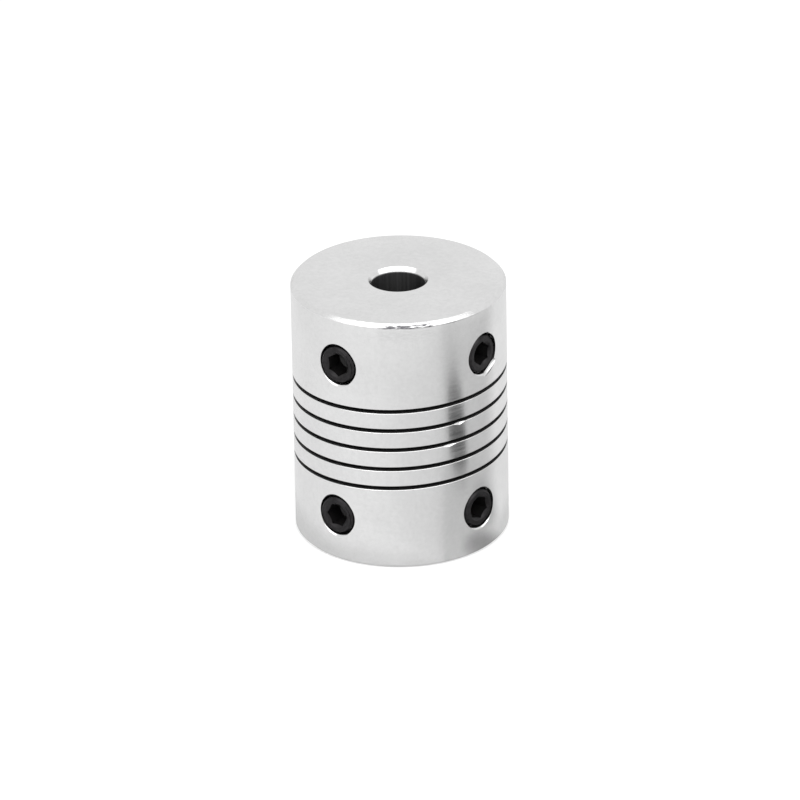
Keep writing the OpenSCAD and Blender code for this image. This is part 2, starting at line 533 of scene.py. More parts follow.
# %% [markdown]
# The part has been handled. At the front the lower edge of its top bevel is scuffed over a few
# millimetres, and fine scratches run round the side just below. A scuff tears the turned skin open,
# so it is darker and dull. It is one noise, drawn out along the edge and kept to where it was rubbed.

# %% Torn skin
SCUFF_ANGLE = math.radians(-51.5)
SCUFF_HALF_WIDTH = math.radians(13)
SCUFF_LENGTH = 0.8 * MM
SCUFF_HEIGHT = 0.07 * MM

to_scuff = add(metal, "ShaderNodeVectorMath", {"operation": "DOT_PRODUCT"}, {
    0: around,
    1: (math.cos(SCUFF_ANGLE), math.sin(SCUFF_ANGLE), 0),
})
rubbed = add(metal, "ShaderNodeMapRange", {}, {
    "Value": to_scuff.outputs["Value"],
    "From Min": math.cos(SCUFF_HALF_WIDTH * 1.2),
    "From Max": math.cos(SCUFF_HALF_WIDTH),
})
scuffs_around = body_r * MM / SCUFF_LENGTH
scuff_place = add(metal, "ShaderNodeCombineXYZ", {}, {
    "X": add(metal, "ShaderNodeMath", {"operation": "MULTIPLY"}, {0: cosine, 1: scuffs_around}),
    "Y": add(metal, "ShaderNodeMath", {"operation": "MULTIPLY"}, {0: sine, 1: scuffs_around}),
    "Z": add(metal, "ShaderNodeMath", {"operation": "DIVIDE"}, {0: height, 1: SCUFF_HEIGHT}),
})
torn = add(metal, "ShaderNodeTexNoise", {}, {
    "Vector": scuff_place,
    "Scale": 1.0,
    "Detail": 3.0,
    "Roughness": 0.7,
}).outputs["Fac"]
print("Scuff:", round(math.degrees(SCUFF_ANGLE)), "degrees round")

# %% [markdown]
# Two bands hold the torn skin: a strong one on the bevel, and a faint one for the scratches below.
# Both are measured down from the top face.

# %% Scuffed front edge
SCUFF_MIDDLE = (rim_bevel - 0.05) * MM
SCRATCH_MIDDLE = 1.1 * MM
SCRATCH_STRENGTH = 0.1

below_top = add(metal, "ShaderNodeMath", {"operation": "SUBTRACT"}, {0: body_len * MM, 1: height})
off_scuff = add(metal, "ShaderNodeMath", {"operation": "SUBTRACT"}, {0: below_top, 1: SCUFF_MIDDLE})
on_edge = add(metal, "ShaderNodeMapRange", {}, {
    "Value": add(metal, "ShaderNodeMath", {"operation": "ABSOLUTE"}, {0: off_scuff}),
    "From Min": 0.2 * MM,
    "From Max": 0.1 * MM,
})
off_scratch = add(metal, "ShaderNodeMath", {"operation": "SUBTRACT"}, {0: below_top, 1: SCRATCH_MIDDLE})
in_scratches = add(metal, "ShaderNodeMapRange", {}, {
    "Value": add(metal, "ShaderNodeMath", {"operation": "ABSOLUTE"}, {0: off_scratch}),
    "From Min": 0.8 * MM,
    "From Max": 0.3 * MM,
    "To Max": SCRATCH_STRENGTH,
})
either = add(metal, "ShaderNodeMath", {"operation": "MAXIMUM"}, {0: on_edge, 1: in_scratches})
where_worn = add(metal, "ShaderNodeMath", {"operation": "MULTIPLY"}, {0: rubbed, 1: either})
how_torn = add(metal, "ShaderNodeMapRange", {}, {"Value": torn, "From Min": 0.42, "From Max": 0.54})
worn = add(metal, "ShaderNodeMath", {"operation": "MULTIPLY"}, {0: where_worn, 1: how_torn})
worn_colour = add(metal, "ShaderNodeMix", {"data_type": "RGBA"}, {
    "Factor": worn,
    "A": metal_colour.outputs["Result"],
    "B": linear("#5f5e62"),
})
print(f"Scuff {SCUFF_MIDDLE / MM:.2f} mm and scratches {SCRATCH_MIDDLE / MM:.1f} mm below the top")

# %% [markdown]
# The turning marks are some two micrometres deep. The bevel round the top was touched with a file,
# whose marks are many times deeper, so its white line looks broken.

# %% Relief of the metal
MARK_DEPTH = 0.002 * MM
FILE_DEPTH = 14.0

on_bevel = add(metal, "ShaderNodeMapRange", {}, {
    "Value": below_top,
    "From Min": (rim_bevel + 0.1) * MM,
    "From Max": rim_bevel * MM,
    "To Max": FILE_DEPTH,
})
at_rim = add(metal, "ShaderNodeMapRange", {}, {
    "Value": radius,
    "From Min": (body_r - rim_bevel - 0.1) * MM,
    "From Max": (body_r - rim_bevel) * MM,
})
filed = add(metal, "ShaderNodeMath", {"operation": "MULTIPLY"}, {0: on_bevel, 1: at_rim})
file_marks = add(metal, "ShaderNodeMath", {"operation": "MULTIPLY"}, {0: filed, 1: torn})
ridges = add(metal, "ShaderNodeBump", {}, {
    "Strength": 1.0,
    "Distance": MARK_DEPTH,
    "Height": add(metal, "ShaderNodeMath", {"operation": "ADD"}, {0: marks, 1: file_marks}),
})
print(f"Turning marks {MARK_DEPTH / MM * 1000:.0f} micrometres deep")

# %% [markdown]
# All of that meets in one metal shader. Its tangent runs round the shaft, as the rings do, and the
# quarter turn lays the longer blur across them. Torn and unpolished metal is rough either way.

# %% Turned aluminium
DULL_ROUGHNESS = 0.5

smooth_gloss = add(metal, "ShaderNodeMapRange", {}, {
    "Value": marks,
    "From Min": NOISE_LOW,
    "From Max": NOISE_HIGH,
    "To Min": 0.18,
    "To Max": 0.24,
})
gloss = add(metal, "ShaderNodeMix", {"data_type": "FLOAT"}, {
    "Factor": add(metal, "ShaderNodeMath", {"operation": "MAXIMUM"}, {0: unpolished_and_shaded, 1: worn}),
    "A": smooth_gloss,
    "B": DULL_ROUGHNESS,
})
ring_direction = add(metal, "ShaderNodeTangent", {"direction_type": "RADIAL", "axis": "Z"})
bare_metal = add(metal, "ShaderNodeBsdfPrincipled", {}, {
    "Base Color": worn_colour.outputs["Result"],
    "Metallic": 1.0,
    "Roughness": gloss.outputs["Result"],
    "Anisotropic": 0.5,
    "Anisotropic Rotation": 0.25,
    "Normal": ridges,
    "Tangent": ring_direction,
})
add(metal, "ShaderNodeOutputMaterial", {}, {"Surface": bare_metal})
print("Nodes in the aluminium:", len(metal.nodes))

# %% [markdown]
# The set screws are alloy steel with a black oxide finish: a hot salt bath turns the surface itself
# into a layer a micrometre thick. It is charcoal rather than black, patchy, and slightly oily. Each
# screw carries its own coordinates in millimetres, because its marks run round its own axis.

# %% Where a point lies on a screw
SCREW_PLACE = "place_on_screw"

black_steel, steel = new_material("black_oxide_steel")
own_place = add(steel, "ShaderNodeAttribute", {"attribute_name": SCREW_PLACE}).outputs["Vector"]
across = add(steel, "ShaderNodeVectorMath", {"operation": "MULTIPLY"}, {0: own_place, 1: (1, 1, 0)})
to_screw_axis = add(steel, "ShaderNodeVectorMath", {"operation": "LENGTH"}, {0: across})
screw_radius = to_screw_axis.outputs["Value"]
along = add(steel, "ShaderNodeSeparateXYZ", {}, {0: own_place}).outputs["Z"]
print("Material:", black_steel.name)

# %% [markdown]
# The oxide's tone is patchy over half a millimetre. Deep in the broached socket the colour is
# darker still, which is painted shade in the hollow.

# %% Oxide and painted socket shade
OXIDE_PATCH = 0.5

patches = add(steel, "ShaderNodeTexNoise", {}, {
    "Vector": own_place,
    "Scale": 1 / OXIDE_PATCH,
    "Detail": 3.0,
    "Roughness": 0.6,
}).outputs["Fac"]
thinner = add(steel, "ShaderNodeMapRange", {}, {
    "Value": patches,
    "From Min": NOISE_LOW,
    "From Max": NOISE_HIGH,
})
oxide = add(steel, "ShaderNodeMix", {"data_type": "RGBA"}, {
    "Factor": thinner,
    "A": linear("#282728"),
    "B": linear("#373637"),
})
inside_socket = add(steel, "ShaderNodeMapRange", {}, {
    "Value": screw_radius,
    "From Min": 1.2,
    "From Max": 1.1,
})
below_face = add(steel, "ShaderNodeMapRange", {}, {
    "Value": along,
    "From Min": screw_len / 2 - 0.1,
    "From Max": screw_len / 2 - 0.5,
})
on_face_side = add(steel, "ShaderNodeMath", {"operation": "GREATER_THAN"}, {0: along, 1: 0.0})
deep_inside = add(steel, "ShaderNodeMath", {"operation": "MULTIPLY"}, {0: inside_socket, 1: below_face})
socket_shade = add(steel, "ShaderNodeMath", {"operation": "MULTIPLY"}, {0: deep_inside, 1: on_face_side})
# Painted shade deep inside the socket
shaded_oxide = add(steel, "ShaderNodeMix", {"data_type": "RGBA"}, {
    "Factor": socket_shade,
    "A": oxide.outputs["Result"],
    "B": linear("#1c1b1b"),
})
print("Oxide patches:", OXIDE_PATCH, "mm")

# %% [markdown]
# The screw was turned before its bath, so rings show faintly on its face. They are drawn 0.12 mm
# apart. The socket's painted shade also lowers the metallic value, so the steel mirrors less there.

# %% Black-oxide steel
FACE_MARK_PITCH = 0.12
OXIDE_RELIEF = 0.003 * MM

face_mark_place = add(steel, "ShaderNodeCombineXYZ", {}, {
    "X": add(steel, "ShaderNodeMath", {"operation": "DIVIDE"}, {0: screw_radius, 1: FACE_MARK_PITCH}),
    "Y": add(steel, "ShaderNodeMath", {"operation": "DIVIDE"}, {0: along, 1: FACE_MARK_PITCH}),
})
face_marks = add(steel, "ShaderNodeTexNoise", {}, {
    "Vector": face_mark_place,
    "Scale": 1.0,
    "Detail": 1.0,
}).outputs["Fac"]
relief = add(steel, "ShaderNodeBump", {}, {
    "Strength": 1.0,
    "Distance": OXIDE_RELIEF,
    "Height": add(steel, "ShaderNodeMath", {"operation": "ADD"}, {0: face_marks, 1: patches}),
})
metallic = add(steel, "ShaderNodeMapRange", {}, {"Value": socket_shade, "To Min": 1.0, "To Max": 0.3})
oxide_gloss = add(steel, "ShaderNodeMapRange", {}, {
    "Value": patches,
    "From Min": NOISE_LOW,
    "From Max": NOISE_HIGH,
    "To Min": 0.34,
    "To Max": 0.48,
})
oxide_metal = add(steel, "ShaderNodeBsdfPrincipled", {}, {
    "Base Color": shaded_oxide.outputs["Result"],
    "Metallic": metallic,
    "Roughness": oxide_gloss,
    "Normal": relief,
})
add(steel, "ShaderNodeOutputMaterial", {}, {"Surface": oxide_metal})
print("Nodes in the steel:", len(steel.nodes))

# %% [markdown]
# The sleeve follows three simple rules, which is why nodes suit it: an outline spun round an axis, a
# slot that climbs at a steady pitch, and one screw hole repeated four times. Three helpers serve
# both shapes: one opens a tree with an input for each size, one ends it, and one runs it and keeps
# a plain mesh. Edges sharper than 28 degrees stay sharp, and all others are smooth.

# %% Helpers for shapes
SHARP_ANGLE = math.radians(28)


def new_shape(name, sizes):
    """A tree of geometry nodes with one named input for each size."""
    tree = bpy.data.node_groups.new(name, "GeometryNodeTree")
    tree.interface.new_socket("Geometry", in_out="INPUT", socket_type="NodeSocketGeometry")
    tree.interface.new_socket("Geometry", in_out="OUTPUT", socket_type="NodeSocketGeometry")
    for label in sizes:
        tree.interface.new_socket(label, in_out="INPUT", socket_type="NodeSocketFloat")
    return tree, tree.nodes.new("NodeGroupInput").outputs


def finish_shape(tree, shape, material):
    """Smooth faces with sharp edges, scaled from millimetres, as one real mesh with its material."""
    smooth = add(tree, "GeometryNodeSetShadeSmooth", {"domain": "FACE"}, {"Geometry": shape})
    edge = add(tree, "GeometryNodeInputMeshEdgeAngle")
    sharp = add(tree, "ShaderNodeMath", {"operation": "GREATER_THAN"}, {
        0: edge.outputs["Unsigned Angle"],
        1: SHARP_ANGLE,
    })
    creased = add(tree, "GeometryNodeSetShadeSmooth", {"domain": "EDGE"}, {
        "Geometry": smooth,
        "Selection": sharp,
        "Shade Smooth": False,
    })
    metres = add(tree, "GeometryNodeTransform", {}, {"Geometry": creased, "Scale": (MM, MM, MM)})
    real = add(tree, "GeometryNodeRealizeInstances", {}, {"Geometry": metres})
    coated = add(tree, "GeometryNodeSetMaterial", {}, {"Geometry": real, "Material": material})
    add(tree, "NodeGroupOutput", {}, {0: coated})


def make_piece(name, tree, sizes, start_mesh):
    """Runs the tree on a start mesh with these sizes, and keeps the result as a plain mesh."""
    piece = bpy.data.objects.new(name, start_mesh)
    bpy.context.scene.collection.objects.link(piece)
    modifier = piece.modifiers.new(name, "NODES")
    modifier.node_group = tree
    for item in tree.interface.items_tree:
        if item.in_out == "INPUT" and item.name in sizes:
            modifier[item.identifier] = float(sizes[item.name])
    evaluated = piece.evaluated_get(bpy.context.evaluated_depsgraph_get())
    result = bpy.data.meshes.new_from_object(evaluated)
    piece.modifiers.remove(modifier)
    piece.data = result
    result.name = name
    print(f"{name}: {len(result.vertices)} points, {len(result.polygons)} faces")
    return piece


print(f"Edges stay sharp above {math.degrees(SHARP_ANGLE):.0f} degrees")

# %% [markdown]
# The outline is drawn once, as eight corners: the lead-in and the outer bevel at each end. It is
# drawn from the sleeve's outer radius, where the circle that carries it runs.

# %% The sleeve's outline
half_len = body_len / 2
upper_half = [
    (bore_r, half_len - lead_in_depth),
    (bore_r + lead_in_w, half_len),
    (body_r - rim_bevel, half_len),
    (body_r, half_len - rim_bevel),
]
outline_corners = [(r, -z) for r, z in upper_half] + list(reversed(upper_half))
outline_mesh = bpy.data.meshes.new("sleeve_outline")
outline_mesh.from_pydata(
    [(r - body_r, z, 0) for r, z in outline_corners],
    [(i, (i + 1) % len(outline_corners)) for i in range(len(outline_corners))],
    [],
)
print("Outline:", len(outline_corners), "corners")

# %% [markdown]
# Every edge of a turned part is slightly soft, because a file or a tumbler breaks it, and those soft
# edges are what catches the light. So the outline's corners are rounded before it is spun.

# %% Spin the outline
OVERCUT = 0.5

SLEEVE_SIZES = {
    "Body radius": body_r,
    "Body length": body_len,
    "Edge softening": 0.04,
    "Slit turns": slit_turns,
    "Slit rise": slit_rise,
    "Slit width": slit_w,
    "Slit depth": body_r - bore_r + 2 * OVERCUT,
    "Slit start": math.radians(slit_mid_angle - 180 * slit_turns),
    "Slit edge break": 0.03,
    "Hole radius": hole_r,
    "Mouth bevel": 0.13,
    "Thread pitch": thread_pitch,
    "Thread depth": 0.16,
    "Upper height": PLACES["upper_front"][1],
    "Lower height": PLACES["lower_front"][1],
    "Front angle": PLACES["upper_front"][0],
    "Upper spread": PLACES["upper_right"][0] - PLACES["upper_front"][0],
    "Lower spread": PLACES["lower_right"][0] - PLACES["lower_front"][0],
    "Lower pair turn": PLACES["lower_front"][0] - PLACES["upper_front"][0],
}
sleeve_tree, size = new_shape("helical_sleeve", SLEEVE_SIZES)

outline = add(sleeve_tree, "GeometryNodeMeshToCurve", {}, {"Mesh": size["Geometry"]})
softened = add(sleeve_tree, "GeometryNodeFilletCurve", {"mode": "POLY"}, {
    "Curve": outline,
    "Count": 3,
    "Radius": size["Edge softening"],
    "Limit Radius": True,
})
circle = add(sleeve_tree, "GeometryNodeCurvePrimitiveCircle", {}, {
    "Resolution": 288,
    "Radius": size["Body radius"],
})
upright_circle = add(sleeve_tree, "GeometryNodeSetCurveNormal", {"mode": "Z_UP"}, {0: circle})
spun = add(sleeve_tree, "GeometryNodeCurveToMesh", {}, {
    "Curve": upright_circle,
    "Profile Curve": softened,
})
raise_by = add(sleeve_tree, "ShaderNodeCombineXYZ", {}, {
    "Z": add(sleeve_tree, "ShaderNodeMath", {"operation": "MULTIPLY"}, {0: size["Body length"], 1: 0.5}),
})
blank = add(sleeve_tree, "GeometryNodeTransform", {}, {"Geometry": spun, "Translation": raise_by})
print("Tree:", sleeve_tree.name)

# %% [markdown]
# The cutter that makes the slit is a thin bar swept along a right-handed spiral. The spiral is moved
# up so that it lies midway between the hubs.

# %% Sweep the slit
spiral = add(sleeve_tree, "GeometryNodeCurveSpiral", {}, {
    "Resolution": 144,
    "Rotations": size["Slit turns"],
    "Start Radius": size["Body radius"],
    "End Radius": size["Body radius"],
    "Height": size["Slit rise"],
    "Reverse": True,
})
two_ends = add(sleeve_tree, "ShaderNodeMath", {"operation": "SUBTRACT"}, {
    0: size["Body length"],
    1: size["Slit rise"],
})
one_end = add(sleeve_tree, "ShaderNodeMath", {"operation": "MULTIPLY"}, {0: two_ends, 1: 0.5})
path = add(sleeve_tree, "GeometryNodeTransform", {}, {
    "Geometry": spiral,
    "Translation": add(sleeve_tree, "ShaderNodeCombineXYZ", {}, {"Z": one_end}),
    "Rotation": add(sleeve_tree, "ShaderNodeCombineXYZ", {}, {"Z": size["Slit start"]}),
})
upright_path = add(sleeve_tree, "GeometryNodeSetCurveNormal", {"mode": "Z_UP"}, {0: path})
bar = add(sleeve_tree, "GeometryNodeCurvePrimitiveQuadrilateral", {}, {
    "Width": size["Slit depth"],
    "Height": size["Slit width"],
})
inwards = add(sleeve_tree, "ShaderNodeMath", {"operation": "MULTIPLY"}, {0: size["Slit depth"], 1: -0.5})
bar_shift = add(sleeve_tree, "ShaderNodeCombineXYZ", {}, {
    "X": add(sleeve_tree, "ShaderNodeMath", {"operation": "ADD"}, {0: inwards, 1: OVERCUT}),
})
placed_bar = add(sleeve_tree, "GeometryNodeTransform", {}, {"Geometry": bar, "Translation": bar_shift})
slit_cutter = add(sleeve_tree, "GeometryNodeCurveToMesh", {}, {
    "Curve": upright_path,
    "Profile Curve": placed_bar,
    "Fill Caps": True,
})
print(f"Slit: {slit_turns} turns, {slit_w} mm wide, {slit_rise:.1f} mm high")

# %% [markdown]
# A second, diamond section on the same spiral breaks the slit's sharp edges by a few hundredths of a
# millimetre. It is a circle of only four points.

# %% Break the slit's edges
half_width = add(sleeve_tree, "ShaderNodeMath", {"operation": "MULTIPLY"}, {0: size["Slit width"], 1: 0.5})
diamond = add(sleeve_tree, "GeometryNodeCurvePrimitiveCircle", {}, {
    "Resolution": 4,
    "Radius": add(sleeve_tree, "ShaderNodeMath", {"operation": "ADD"}, {
        0: half_width,
        1: size["Slit edge break"],
    }),
})
edge_cutter = add(sleeve_tree, "GeometryNodeCurveToMesh", {}, {
    "Curve": upright_path,
    "Profile Curve": diamond,
    "Fill Caps": True,
})
print(f"Edges broken by {SLEEVE_SIZES['Slit edge break']} mm")

# %% [markdown]
# A tapped hole is a drilled hole, a small cone where the drill's burr was taken off, and a fine
# groove that spirals down the wall. One set of cutters is made along +Z, with the shaft's axis at
# zero, and placed four times. The drill starts inside the bore, short of its middle.

# %% Drill and deburr
HOLE_START = bore_r / 3

hole_length = body_r + OVERCUT - HOLE_START
drill = add(sleeve_tree, "GeometryNodeMeshCylinder", {}, {
    "Vertices": 128,
    "Radius": size["Hole radius"],
    "Depth": hole_length,
})
drill_place = add(sleeve_tree, "GeometryNodeTransform", {}, {
    "Geometry": drill,
    "Translation": (0, 0, HOLE_START + hole_length / 2),
})
mouth_r = add(sleeve_tree, "ShaderNodeMath", {"operation": "ADD"}, {
    0: size["Hole radius"],
    1: size["Mouth bevel"],
})
cone_reach = add(sleeve_tree, "ShaderNodeMath", {"operation": "ADD"}, {0: mouth_r, 1: OVERCUT})
cone = add(sleeve_tree, "GeometryNodeMeshCone", {}, {
    "Vertices": 128,
    "Radius Top": cone_reach,
    "Radius Bottom": 0.0,
    "Depth": cone_reach,
})
cone_base = add(sleeve_tree, "ShaderNodeMath", {"operation": "SUBTRACT"}, {
    0: size["Body radius"],
    1: mouth_r,
})
cone_place = add(sleeve_tree, "GeometryNodeTransform", {}, {
    "Geometry": cone,
    "Translation": add(sleeve_tree, "ShaderNodeCombineXYZ", {}, {"Z": cone_base}),
})
print(f"Drill: {hole_length:.2f} mm long")

# %% [markdown]
# The groove of the thread is another swept spiral. Its section is a diamond again, flattened until
# it is as deep as the thread. It stops short of the surface, as a deburred thread does.

# %% Cut the thread's groove
GROOVE_HALF_SHARE = 0.42
THREAD_STOP = 0.4

thread_length = hole_length - OVERCUT - THREAD_STOP
thread_turns = add(sleeve_tree, "ShaderNodeMath", {"operation": "DIVIDE"}, {
    0: thread_length,
    1: size["Thread pitch"],
})
thread_path = add(sleeve_tree, "GeometryNodeCurveSpiral", {}, {
    "Resolution": 64,
    "Rotations": thread_turns,
    "Start Radius": size["Hole radius"],
    "End Radius": size["Hole radius"],
    "Height": thread_length,
    "Reverse": True,
})
upright_thread = add(sleeve_tree, "GeometryNodeSetCurveNormal", {"mode": "Z_UP"}, {0: thread_path})
groove_section = add(sleeve_tree, "GeometryNodeCurvePrimitiveCircle", {}, {
    "Resolution": 4,
    "Radius": add(sleeve_tree, "ShaderNodeMath", {"operation": "MULTIPLY"}, {
        0: size["Thread pitch"],
        1: GROOVE_HALF_SHARE,
    }),
})
groove_ratio = add(sleeve_tree, "ShaderNodeMath", {"operation": "DIVIDE"}, {
    0: size["Thread depth"],
    1: size["Thread pitch"],
})
groove_scale = add(sleeve_tree, "ShaderNodeCombineXYZ", {}, {
    "X": add(sleeve_tree, "ShaderNodeMath", {"operation": "DIVIDE"}, {
        0: groove_ratio,
        1: GROOVE_HALF_SHARE,
    }),
    "Y": 1.0,
    "Z": 1.0,
})
flat_groove = add(sleeve_tree, "GeometryNodeTransform", {}, {
    "Geometry": groove_section,
    "Scale": groove_scale,
})
groove = add(sleeve_tree, "GeometryNodeCurveToMesh", {}, {
    "Curve": upright_thread,
    "Profile Curve": flat_groove,
    "Fill Caps": True,
})
groove_place = add(sleeve_tree, "GeometryNodeTransform", {}, {
    "Geometry": groove,
    "Translation": (0, 0, HOLE_START),
})
print(f"Thread: {thread_length:.2f} mm long, {thread_pitch} mm a turn")

# %% [markdown]
# The four holes are four points on the shaft's axis, each with its height and the way it faces.
# Points 0 to 3 are the upper front, upper right, lower front and lower right screw, so the number
# of a point says whether it is right and whether it is lower.

# %% Where the holes go
index = add(sleeve_tree, "GeometryNodeInputIndex")
is_right = add(sleeve_tree, "ShaderNodeMath", {"operation": "MODULO"}, {0: index, 1: 2})
is_lower = add(sleeve_tree, "ShaderNodeMath", {"operation": "GREATER_THAN"}, {0: index, 1: 1.5})
pair_spread = add(sleeve_tree, "ShaderNodeMapRange", {}, {
    "Value": is_lower,
    "To Min": size["Upper spread"],
    "To Max": size["Lower spread"],
})
spread_here = add(sleeve_tree, "ShaderNodeMath", {"operation": "MULTIPLY"}, {0: is_right, 1: pair_spread})
turn_here = add(sleeve_tree, "ShaderNodeMath", {"operation": "MULTIPLY"}, {
    0: is_lower,
    1: size["Lower pair turn"],
})
from_front = add(sleeve_tree, "ShaderNodeMath", {"operation": "ADD"}, {0: spread_here, 1: turn_here})
facing = add(sleeve_tree, "ShaderNodeCombineXYZ", {}, {
    "Y": math.radians(90),
    "Z": add(sleeve_tree, "ShaderNodeMath", {"operation": "ADD"}, {0: from_front, 1: size["Front angle"]}),
})
facing_rotation = add(sleeve_tree, "FunctionNodeEulerToRotation", {}, {0: facing})
height_here = add(sleeve_tree, "ShaderNodeMapRange", {}, {
    "Value": is_lower,
    "To Min": size["Upper height"],
    "To Max": size["Lower height"],
})
places = add(sleeve_tree, "GeometryNodePoints", {}, {
    "Count": len(SCREWS),
    "Position": add(sleeve_tree, "ShaderNodeCombineXYZ", {}, {"Z": height_here}),
})
print("Holes:", len(SCREWS))

# %% [markdown]
# Two short bright marks sit on lower edges of the slit, where the cutter tore a burr that was then
# filed off. A file leaves a flat, so each of them is a sphere of so few faces that it has become an
# octahedron, sunk in the edge. A rounder and longer scrape sits beside the upper right hole.

# %% Dents
# Each dent: segments and rings, angle round and height, tilt, and half sizes: depth, length, width
DENTS = {
    "burr_high": ((4, 2), (-22.0, 14.19), 2, (0.22, 0.80, 0.22)),
    "burr_middle": ((4, 2), (-28.4, 12.19), 2, (0.19, 1.00, 0.19)),
    "hole_scrape": ((32, 16), (1.3, 18.42), 28, (0.28, 1.15, 0.34)),
}

dents = []
for (segments, rings), (dent_angle, dent_height), tilt, half_sizes in DENTS.values():
    turn = math.radians(dent_angle)
    ball = add(sleeve_tree, "GeometryNodeMeshUVSphere", {}, {"Segments": segments, "Rings": rings})
    dents.append(add(sleeve_tree, "GeometryNodeTransform", {}, {
        "Geometry": ball,
        "Translation": (body_r * math.cos(turn), body_r * math.sin(turn), dent_height),
        "Rotation": (math.radians(tilt), 0, turn),
        "Scale": half_sizes,
    }))
print("Dents:", ", ".join(DENTS))

# %% [markdown]
# One Boolean takes every cutter from the blank at once. The manifold solver is quick, and it is
# sure as long as each cutter is closed, which is why the swept ones have their caps filled.

# %% Cut the sleeve
cut = add(sleeve_tree, "GeometryNodeMeshBoolean", {"operation": "DIFFERENCE", "solver": "MANIFOLD"}, {
    "Mesh 1": blank,
})
for cutter in (slit_cutter, edge_cutter, *dents):
    sleeve_tree.links.new(cutter.outputs[0], cut.inputs["Mesh 2"])
for cutter in (drill_place, cone_place, groove_place):
    copies = add(sleeve_tree, "GeometryNodeInstanceOnPoints", {}, {
        "Points": places,
        "Instance": cutter,
        "Rotation": facing_rotation,
    })
    sleeve_tree.links.new(copies.outputs[0], cut.inputs["Mesh 2"])
finish_shape(sleeve_tree, cut, aluminium)

sleeve = make_piece("sleeve_turned", sleeve_tree, SLEEVE_SIZES, outline_mesh)
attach(sleeve, "sleeve")
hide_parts("coupling_body")

# %% [markdown]
# A set screw is a headless M4 screw with a hexagon socket. Its thread is a ridge that climbs 0.7 mm a
# turn. A plain cylinder with many rings becomes that thread when each point is moved in or out by how
# far up the spiral it lies.

# %% Thread of a set screw
SCREW_SIZES = {
    "Length": screw_len,
    "Radius": screw_r,
    "Thread pitch": thread_pitch,
    "Thread depth": 0.38,
    "Face bevel": 0.33,
    "Neck radius": 1.78,
    "Neck length": 0.5,
    "Cup radius": 1.0,
    "Cup depth": 0.4,
    "Socket width": 2.0,
    "Socket depth": 1.8,
    "Socket bevel": 0.12,
    "Socket turn": 0.0,
    "Angle": 0.0,
    "Height": 0.0,
    "Face distance": body_r,
}

# Where the thread's flank starts and ends, in turns from the crest
FLANK_START = 0.07
FLANK_END = 0.43

screw_tree, size = new_shape("set_screw", SCREW_SIZES)
rod = add(screw_tree, "GeometryNodeMeshCylinder", {}, {
    "Vertices": 96,
    "Side Segments": 120,
    "Radius": 1.0,
    "Depth": size["Length"],
})
position = add(screw_tree, "GeometryNodeInputPosition")
x, y, z = add(screw_tree, "ShaderNodeSeparateXYZ", {}, {0: position}).outputs
way_round_screw = add(screw_tree, "ShaderNodeMath", {"operation": "ARCTAN2"}, {0: y, 1: x})
turn_share = add(screw_tree, "ShaderNodeMath", {"operation": "DIVIDE"}, {0: way_round_screw, 1: math.tau})
turns_up = add(screw_tree, "ShaderNodeMath", {"operation": "DIVIDE"}, {0: z, 1: size["Thread pitch"]})
climb = add(screw_tree, "ShaderNodeMath", {"operation": "SUBTRACT"}, {0: turns_up, 1: turn_share})
flank = add(screw_tree, "ShaderNodeMapRange", {}, {
    "Value": add(screw_tree, "ShaderNodeMath", {"operation": "PINGPONG"}, {0: climb, 1: 0.5}),
    "From Min": FLANK_START,
    "From Max": FLANK_END,
    "To Min": 0.0,
    "To Max": size["Thread depth"],
})
thread_r = add(screw_tree, "ShaderNodeMath", {"operation": "SUBTRACT"}, {0: size["Radius"], 1: flank})
print("Tree:", screw_tree.name)

# %% [markdown]
# The thread dies away towards both ends. Three cones limit the radius there: the bevel of the face,
# the taper of the cup point, and a short neck below the face. The smallest of the four radii counts.

# %% Bevels of a set screw
half_screw = add(screw_tree, "ShaderNodeMath", {"operation": "MULTIPLY"}, {0: size["Length"], 1: 0.5})
from_face = add(screw_tree, "ShaderNodeMath", {"operation": "SUBTRACT"}, {0: half_screw, 1: z})
from_point = add(screw_tree, "ShaderNodeMath", {"operation": "ADD"}, {0: half_screw, 1: z})
face_edge = add(screw_tree, "ShaderNodeMath", {"operation": "SUBTRACT"}, {
    0: size["Radius"],
    1: size["Face bevel"],
})
face_r = add(screw_tree, "ShaderNodeMath", {"operation": "ADD"}, {0: face_edge, 1: from_face})
point_r = add(screw_tree, "ShaderNodeMath", {"operation": "ADD"}, {0: size["Cup radius"], 1: from_point})
past_neck = add(screw_tree, "ShaderNodeMath", {"operation": "SUBTRACT"}, {
    0: from_face,
    1: size["Neck length"],
})
neck_widens = add(screw_tree, "ShaderNodeMath", {"operation": "MAXIMUM"}, {0: past_neck, 1: 0.0})
neck_r = add(screw_tree, "ShaderNodeMath", {"operation": "ADD"}, {0: size["Neck radius"], 1: neck_widens})
limits = (face_r, point_r, neck_r)
smallest_r = thread_r
for limit in limits:
    smallest_r = add(screw_tree, "ShaderNodeMath", {"operation": "MINIMUM"}, {0: smallest_r, 1: limit})
moved = add(screw_tree, "ShaderNodeCombineXYZ", {}, {
    "X": add(screw_tree, "ShaderNodeMath", {"operation": "MULTIPLY"}, {0: x, 1: smallest_r}),
    "Y": add(screw_tree, "ShaderNodeMath", {"operation": "MULTIPLY"}, {0: y, 1: smallest_r}),
    "Z": z,
})
threaded = add(screw_tree, "GeometryNodeSetPosition", {}, {"Geometry": rod, "Position": moved})
print("Limits on the thread's radius:", len(limits))

# %% [markdown]
# The hexagon for the key is pressed in by a broach, into a hole that was drilled first, so the
# hollow that a drill's point of 118 degrees leaves lies below it.

# %% Broach the socket
DRILL_SLOPE = math.tan(math.radians(118 / 2))
DRILL_CLEARANCE = 0.05

